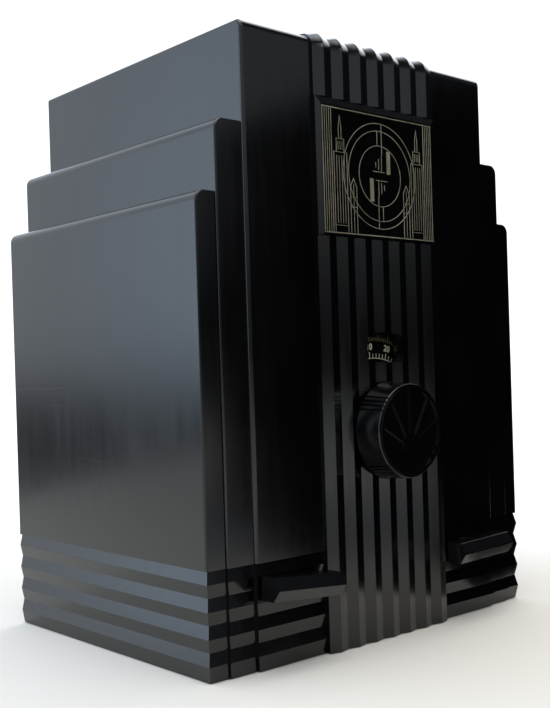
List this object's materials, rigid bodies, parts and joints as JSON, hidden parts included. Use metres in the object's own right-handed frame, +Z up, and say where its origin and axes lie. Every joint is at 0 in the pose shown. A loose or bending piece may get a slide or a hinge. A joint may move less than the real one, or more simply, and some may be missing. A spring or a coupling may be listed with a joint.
{
  "type": "table radio",
  "caption": "Upright table radio in a stepped black moulded cabinet with a fluted centre column, banded base, dial window, tuning knob and side levers.",
  "frame": {"origin": "centre of the footprint, on the surface that the radio stands on", "axes": "+Z up, the front with its dial and knobs faces -Y, +X to the right seen from the front"},
  "size_m": [0.2262, 0.1906, 0.2985],
  "materials": {
    "bakelite": "gloss",
    "plate_black": "gloss",
    "knob_bakelite": "satin",
    "felt": "matte",
    "steel": "satin",
    "zinc_steel": "satin",
    "brass": "satin",
    "fibreboard": "matte",
    "rubber": "matte",
    "glass": "polished",
    "tube_bakelite": "satin",
    "wafer": "matte",
    "electrode_metal": "matte",
    "aluminium": "satin",
    "wax_cardboard": "satin",
    "enamelled_copper": "gloss",
    "coil_former": "matte",
    "laminations": "matte",
    "magnet_paint": "satin",
    "frame_paint": "satin",
    "cone_paper": "matte",
    "dial_black": "satin",
    "resistor_body": "satin",
    "control_can": "satin"
  },
  "bodies": {
    "set": {"back_cover": "fibreboard", "back_screws": "brass", "baffle_screws": "zinc_steel", "bypass_capacitors": "wax_cardboard", "cabinet": "bakelite", "chassis": "steel", "chassis_bolts": "zinc_steel", "chassis_nuts": "zinc_steel", "chassis_spacers": "rubber", "choke_coil": "enamelled_copper", "choke_core": "laminations", "coil_cans": "aluminium", "coils": "coil_former", "control_nuts": "zinc_steel", "converter_tube_base": "tube_bakelite", "converter_tube_glass": "glass", "cord_grommet": "rubber", "detector_tube_base": "tube_bakelite", "detector_tube_glass": "glass", "dial_lamp": "glass", "field_coil": "enamelled_copper", "foot_pads": "felt", "grid_caps": "zinc_steel", "if_tube_base": "tube_bakelite", "if_tube_glass": "glass", "lamp_bracket": "steel", "lamp_socket": "brass", "ornamental_plate": "plate_black", "output_transformer": "laminations", "output_tube_base": "tube_bakelite", "output_tube_glass": "glass", "plate_nuts": "zinc_steel", "rectifier_tube_base": "tube_bakelite", "rectifier_tube_glass": "glass", "resistors": "resistor_body", "smoothing_capacitor": "wax_cardboard", "speaker_baffle": "fibreboard", "speaker_bolts": "zinc_steel", "speaker_frame": "frame_paint", "speaker_magnet": "magnet_paint", "speaker_surround": "cone_paper", "tone_switch": "control_can", "tube_electrodes": "electrode_metal", "tube_shields": "aluminium", "tube_sockets": "wafer", "tuning_frame": "zinc_steel", "tuning_screws": "zinc_steel", "tuning_stator": "aluminium", "volume_control": "control_can"},
    "tuning": {"tuning_rotor": "aluminium", "dial_disc": "dial_black", "dial_hub": "brass", "tuning_knob": "knob_bakelite", "grub_screws": "steel"},
    "volume": {"volume_shaft": "brass", "volume_lever": "knob_bakelite"},
    "tone": {"tone_shaft": "brass", "tone_lever": "knob_bakelite"},
    "cone": {"speaker_cone": "cone_paper", "voice_coil": "enamelled_copper"}
  },
  "joints": [
    {"name": "tuning_turn", "type": "hinge", "parent": "set", "child": "tuning", "pos_m": [0, -0.07625, 0.1043], "axis": [0, -1, 0], "range_deg": [-22.3, 157.6]},
    {"name": "volume_turn", "type": "hinge", "parent": "set", "child": "volume", "pos_m": [-0.0653, -0.07625, 0.0371], "axis": [0, -1, 0], "range_deg": [-220, 50]},
    {"name": "tone_turn", "type": "hinge", "parent": "set", "child": "tone", "pos_m": [0.0653, -0.07625, 0.0371], "axis": [0, -1, 0], "range_deg": [-60, 0]},
    {"name": "cone_travel", "type": "slide", "parent": "set", "child": "cone", "axis": [0, 1, 0], "range_m": [-0.0008, 0.0008], "stiffness_N_per_m": 1500}
  ]
}
